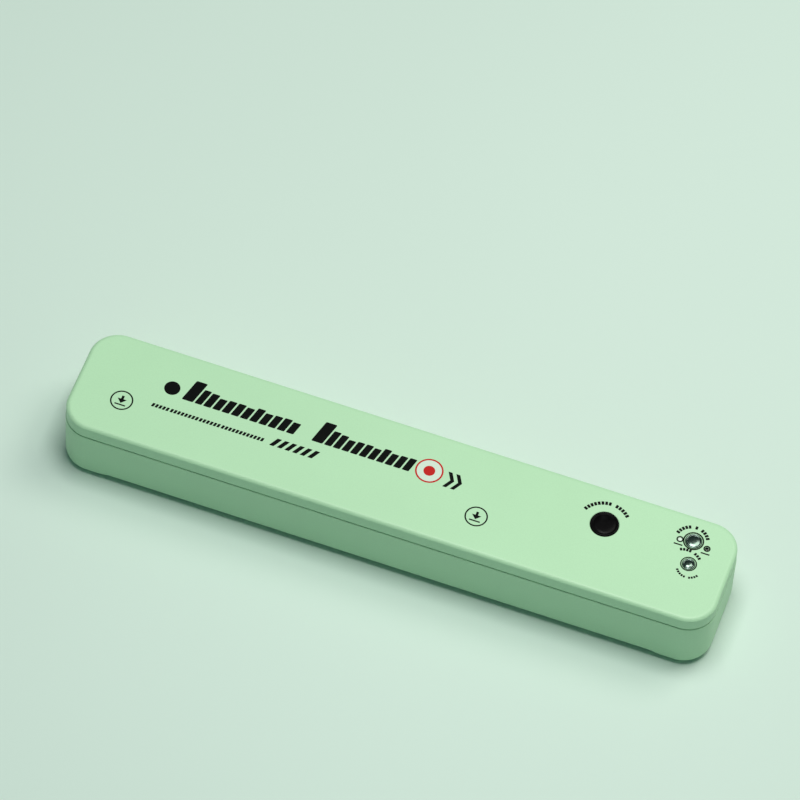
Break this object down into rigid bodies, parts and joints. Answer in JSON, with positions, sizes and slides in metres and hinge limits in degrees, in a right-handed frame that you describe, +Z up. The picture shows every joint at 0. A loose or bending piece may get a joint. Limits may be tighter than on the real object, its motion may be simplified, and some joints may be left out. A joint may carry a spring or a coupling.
{
  "type": "vacuum sealer",
  "caption": "Slim household vacuum sealer: long base with sealing bar, pump and electronics, full-length rear-hinged lid with push points, air release valve and round push buttons.",
  "frame": {"origin": "centre of the footprint, on the plane the rubber feet stand on", "axes": "+X along the length towards the control end, +Y towards the hinge side, +Z up"},
  "size_m": [0.36, 0.064, 0.0436],
  "materials": {
    "mint_shell": "satin moulded",
    "mint_deck": "matte moulded",
    "black_rubber": "matte",
    "zinc_steel": "zinc plated",
    "spring_steel": "bright",
    "insulating_board": "pressed fibre",
    "heating_alloy": "rolled",
    "coated_glass_cloth": "woven, waxy",
    "brass": "rolled",
    "ceramic": "fired",
    "black_foam": "closed-cell foam",
    "white_plastic": "moulded",
    "felt": "felt",
    "clear_silicone": "translucent",
    "motor_can": "nickel plated",
    "black_plastic": "moulded",
    "grey_plastic": "glass filled",
    "circuit_board": "lacquered laminate",
    "capacitor_sleeve": "shrink sleeve",
    "transformer_tape": "taped winding",
    "relay_case": "moulded",
    "aluminium": "extruded",
    "fuse_glass": "clear",
    "nickel_pins": "nickel plated",
    "black_insulation": "extruded",
    "red_insulation": "extruded",
    "white_insulation": "silicone",
    "lamp_lens": "diffusing",
    "valve_body": "moulded",
    "plated_button": "satin plated"
  },
  "bodies": {
    "base": {"base_casing": "mint_shell", "base_deck": "mint_deck", "vacuum_trough": "mint_deck", "rubber_feet": "black_rubber", "casing_screws": "zinc_steel", "heater_bed": "insulating_board", "heating_ribbon": "heating_alloy", "heater_tape": "coated_glass_cloth", "heater_terminals": "brass", "thermal_cutout": "ceramic", "lower_gasket": "black_foam", "suction_nozzle": "white_plastic", "suction_filter": "felt", "suction_hose": "clear_silicone", "pump_motor": "motor_can", "motor_end_cap": "black_plastic", "pump_frame": "grey_plastic", "pump_diaphragm": "black_rubber", "pump_head": "grey_plastic", "power_board": "circuit_board", "board_screws": "zinc_steel", "bulk_capacitor": "capacitor_sleeve", "switching_transformer": "transformer_tape", "power_relay": "relay_case", "heat_sink": "aluminium", "mains_fuse": "fuse_glass", "board_sockets": "white_plastic", "power_inlet": "black_plastic", "inlet_pins": "nickel_pins", "inlet_leads": "black_insulation", "motor_leads": "red_insulation", "heater_leads": "white_insulation", "lid_loom": "black_insulation", "catch_clips": "spring_steel", "hinge_pins": "spring_steel"},
    "lid": {"lid_cover": "mint_shell", "lid_liner": "mint_deck", "liner_screws": "zinc_steel", "upper_gasket": "black_foam", "press_strip": "clear_silicone", "latch_hooks": "white_plastic", "control_board": "circuit_board", "tact_switches": "black_plastic", "status_leds": "lamp_lens", "led_lenses": "lamp_lens", "valve_housing": "valve_body", "vent_tube": "clear_silicone", "valve_spring": "spring_steel"},
    "release_valve": {"release_button": "black_rubber", "valve_stem": "white_plastic", "valve_seal": "black_rubber"},
    "vacuum_seal_key": {"vacuum_seal_button": "plated_button"},
    "seal_only_key": {"seal_only_button": "plated_button"},
    "rotor": {"motor_shaft": "spring_steel", "eccentric": "brass"},
    "pump_rod": {"connecting_rod": "white_plastic"}
  },
  "joints": [
    {"name": "lid_hinge", "type": "hinge", "parent": "base", "child": "lid", "pos_m": [0, 0.0288, 0.034], "axis": [-1, 0, 0], "range_deg": [0, 70], "deforming": ["lid_loom", "catch_clips"]},
    {"name": "release_press", "type": "slide", "parent": "lid", "child": "release_valve", "axis": [0, 0, -1], "range_m": [0, 0.002], "stiffness_N_per_m": 400, "springref_m": -0.001, "deforming": ["valve_spring"]},
    {"name": "vacuum_seal_press", "type": "slide", "parent": "lid", "child": "vacuum_seal_key", "axis": [0, 0, -1], "range_m": [0, 0.0005], "stiffness_N_per_m": 1500, "springref_m": -0.0003},
    {"name": "seal_only_press", "type": "slide", "parent": "lid", "child": "seal_only_key", "axis": [0, 0, -1], "range_m": [0, 0.0005], "stiffness_N_per_m": 1500, "springref_m": -0.0003},
    {"name": "rotor_spin", "type": "hinge", "parent": "base", "child": "rotor", "pos_m": [0.109, -0.013, 0.0175], "axis": [1, 0, 0], "continuous": true},
    {"name": "pump_stroke", "type": "slide", "parent": "base", "child": "pump_rod", "axis": [0, 1, 0], "range_m": [-0.001, 0.001], "stiffness_N_per_m": 600, "deforming": ["pump_diaphragm"]}
  ]
}
